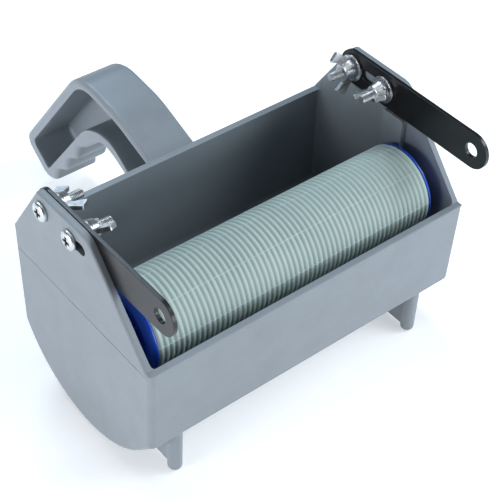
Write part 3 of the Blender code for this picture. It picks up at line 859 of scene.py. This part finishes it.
def build_screw(key, sx):
    """Pan head with a cross recess and a rolled thread with a chamfered tip."""
    middle, out, tip = SCREWS[key]
    y, seg = middle.y, 36
    under = out - HEAD_H
    loops = []

    def ring(x, radius_of):
        loops.append([at(sx * x, y + radius_of(i) * math.cos(2 * math.pi * i / seg),
                         SCREW_Z + radius_of(i) * math.sin(2 * math.pi * i / seg)) for i in range(seg)])

    step = THREAD_PITCH / 6
    rows = int((under - 0.6 - tip) / step)
    for k in range(rows + 1):
        x = tip + k * step
        top = SHANK_R - max(0.0, 0.7 - (x - tip)) * 0.75
        crest = [abs(((x / THREAD_PITCH + i / seg) % 1.0) * 2 - 1) for i in range(seg)]
        ring(x, lambda i: min(top, SHANK_R - THREAD_DEPTH * crest[i]))
    head = [(under, SHANK_R), (under, HEAD_R - 0.35), (under + 0.12, HEAD_R - 0.08), (under + 0.35, HEAD_R),
            (under + 1.0, HEAD_R)]
    head += [(under + 1.0 + 1.55 * math.sin(a), HEAD_R - 2.5 * (1 - math.cos(a)))
             for a in (math.radians(15 * i) for i in range(1, 7))] + [(out - 0.02, 1.6), (out, 0.5)]
    for x, r in head:
        ring(x, lambda i: r)
    screw = loops_mesh("screw_zinc_" + key, loops)
    for long in (True, False):
        bm = bmesh.new()
        made = bmesh.ops.create_cube(bm, size=1.0)["verts"]
        for v in made:
            deep = v.co.x * sx < 0
            reach, thick = (1.5, 0.45) if deep else (3.4, 0.95)
            v.co = Vector((sx * (out - 1.9 if deep else out + 0.6),
                           math.copysign(reach if long else thick, v.co.y),
                           math.copysign(thick if long else reach, v.co.z)))
        for v in made:
            v.co = at(v.co.x, v.co.y + y, v.co.z + SCREW_Z)
        combine(screw, new_piece("recess", bm), "DIFFERENCE")
    tidy_mesh(screw)
    shade(screw, 42.0, weighted=False)
    steel = zinc("screw_zinc_" + key, y + sx * 3, 0.32, (y, sx * out, SCREW_Z))
    return finish_piece(screw, steel, "tray_body", "screw_" + key)


def build_washer(key, sx):
    y = SCREWS[key][0].y
    x0, x1, r, e = WASHER_OUT, WASHER_OUT - WASHER_T, WASHER_R, 0.25
    profile = [(x0, 2.9), (x0, r - e), (x0 - 0.08, r - 0.08), (x0 - e, r), (x1 + e, r), (x1 + 0.08, r - 0.08),
               (x1, r - e), (x1, 3.1), (x1 + 0.25, 2.8), (x0 - 0.1, 2.8)]
    washer = turned("washer_zinc_" + key, [(sx * x, q) for x, q in profile], y, SCREW_Z, 64)
    shade(washer, 40.0)
    return finish_piece(washer, zinc("washer_zinc_" + key, y + sx * 5, 0.26), "tray_body", "washer_" + key)


def build_wingnut(key, sx):
    """Round hub with two flat raked wings, their edges slightly broken."""
    y, h, s, t = SCREWS[key][0].y, NUT_HUB_H, NUT_SPAN_R, NUT_H
    hub = [(0, 2.6), (0, 5.2), (0.3, 5.6), (1.6, 5.6), (2.2, 5.4), (3.2, 5.0), (h - 0.7, 4.6),
           (h - 0.2, 4.3), (h, 3.8), (h, 2.6)]
    nut = turned("nut", [(sx * (NUT_OUT - x), r) for x, r in hub], y, SCREW_Z, 48)
    wing = rounded([(3.2, 0.9, 0), (5.6, 0.9, 1.0), (s, 7.6, 0.8), (8.1, t, 0.8),
                    (4.9, h - 0.5, 2.5), (3.2, h - 0.5, 0)], 15.0)
    thick = 2.4 * MM
    broken = lambda mid, along, angle: 0.4 if abs(mid.z) > 1.0 else 0.0
    for side in (-1, 1):
        bm = bmesh.new()
        ring = [bm.verts.new(Vector((-sx * p[1] * MM, side * p[0] * MM, -thick / 2))) for p in wing]
        ext = bmesh.ops.extrude_face_region(bm, geom=[bm.faces.new(ring)])
        moved = [g for g in ext["geom"] if isinstance(g, bmesh.types.BMVert)]
        bmesh.ops.translate(bm, verts=moved, vec=(0, 0, thick))
        bmesh.ops.translate(bm, verts=bm.verts, vec=ORIGIN * MM)
        tab = round_edges(new_piece("wing", bm), broken, 3, 60.0)
        turn = Matrix.Rotation(math.radians(WING_ANGLE[key]), 4, "X")
        home = Matrix.Translation(at(sx * NUT_OUT, y, SCREW_Z)) @ turn @ Matrix.Translation(-ORIGIN * MM)
        tab.data.transform(home)
        combine(nut, tab, "UNION")
    tidy_mesh(nut)
    nut.name = "wingnut_cast_" + key
    shade(nut, 40.0)
    return finish_piece(nut, zinc("wingnut_zinc_" + key, y + sx * 7, 0.3), "wingnut_" + key, "wingnut_" + key)


# ------------------------------------------------------------------ stage
def area_light(name, place, aim, size, power, colour=(1.0, 1.0, 1.0)):
    data = bpy.data.lights.new(name, "AREA")
    data.shape, data.size, data.energy, data.color = "SQUARE", size, power, colour
    ob = bpy.data.objects.new(name, data)
    bpy.context.scene.collection.objects.link(ob)
    ob.location = place
    ob.rotation_mode = "QUATERNION"
    ob.rotation_quaternion = (Vector(aim) - Vector(place)).to_track_quat("-Z", "Y")
    return ob


def build_stage():
    bm = bmesh.new()
    bmesh.ops.create_grid(bm, x_segments=1, y_segments=1, size=6.0)
    floor = new_piece("floor", bm)
    floor.location.z = cad_box[0].z - 0.0002
    m, tree, bsdf = new_material("floor_white", (0.9, 0.905, 0.91), 0.8)
    bsdf.inputs["Emission Color"].default_value = (0.97, 0.985, 1.0, 1.0)
    bsdf.inputs["Emission Strength"].default_value = FLOOR_GLOW
    floor.data.materials.append(m)
    world = bpy.data.worlds.new("studio")
    world.use_nodes = True
    bpy.context.scene.world = world
    tree = world.node_tree
    height = add(tree, "ShaderNodeSeparateXYZ")
    tree.links.new(add(tree, "ShaderNodeTexCoord").outputs["Generated"], height.inputs[0])
    tree.links.new(ramp(tree, height.outputs["Z"], SKY), tree.nodes["Background"].inputs["Color"])
    middle = (cad_box[0] + cad_box[1]) / 2
    for name, turn, rise, far, size, power, colour in LIGHTS:
        a, e = math.radians(turn), math.radians(rise)
        place = middle + far * Vector((math.cos(a) * math.cos(e), math.sin(a) * math.cos(e), math.sin(e)))
        area_light(name, place, middle, size, power, colour)
    bpy.context.scene.view_settings.view_transform = "Standard"


def build_camera():
    a, e = math.radians(AZIMUTH), math.radians(ELEVATION)
    back = Vector((math.sin(a) * math.cos(e), -math.cos(a) * math.cos(e), math.sin(e)))
    data = bpy.data.cameras.new("camera")
    data.lens, data.sensor_width = LENS, 36.0
    data.clip_start, data.clip_end = 0.05, 20.0
    cam = bpy.data.objects.new("camera", data)
    bpy.context.scene.collection.objects.link(cam)
    cam.location = at(*EYE)
    cam.rotation_mode = "QUATERNION"
    level = (-back).to_track_quat("-Z", "Y")
    cam.rotation_quaternion = level @ Matrix.Rotation(math.radians(ROLL), 3, "Z").to_quaternion()
    bpy.context.scene.camera = cam


build_camera()
build_stage()
CAP_BLUE = gloss_blue("cap_blue")
ARM_PAINT = painted_steel("arm_paint")
build_tray()
build_handle()
build_sleeve()
build_axle()
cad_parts["roller_core"].data.materials.clear()
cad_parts["roller_core"].data.materials.append(moulded_plastic("core_plastic", (0.5, 0.52, 0.53), 0.5))
for side, sx in (("left", -1), ("right", 1)):
    build_cap(side, sx)
    build_arm(side, sx)
    for row in ("rear", "front"):
        build_screw(row + "_" + side, sx)
        build_washer(row + "_" + side, sx)
        build_wingnut(row + "_" + side, sx)
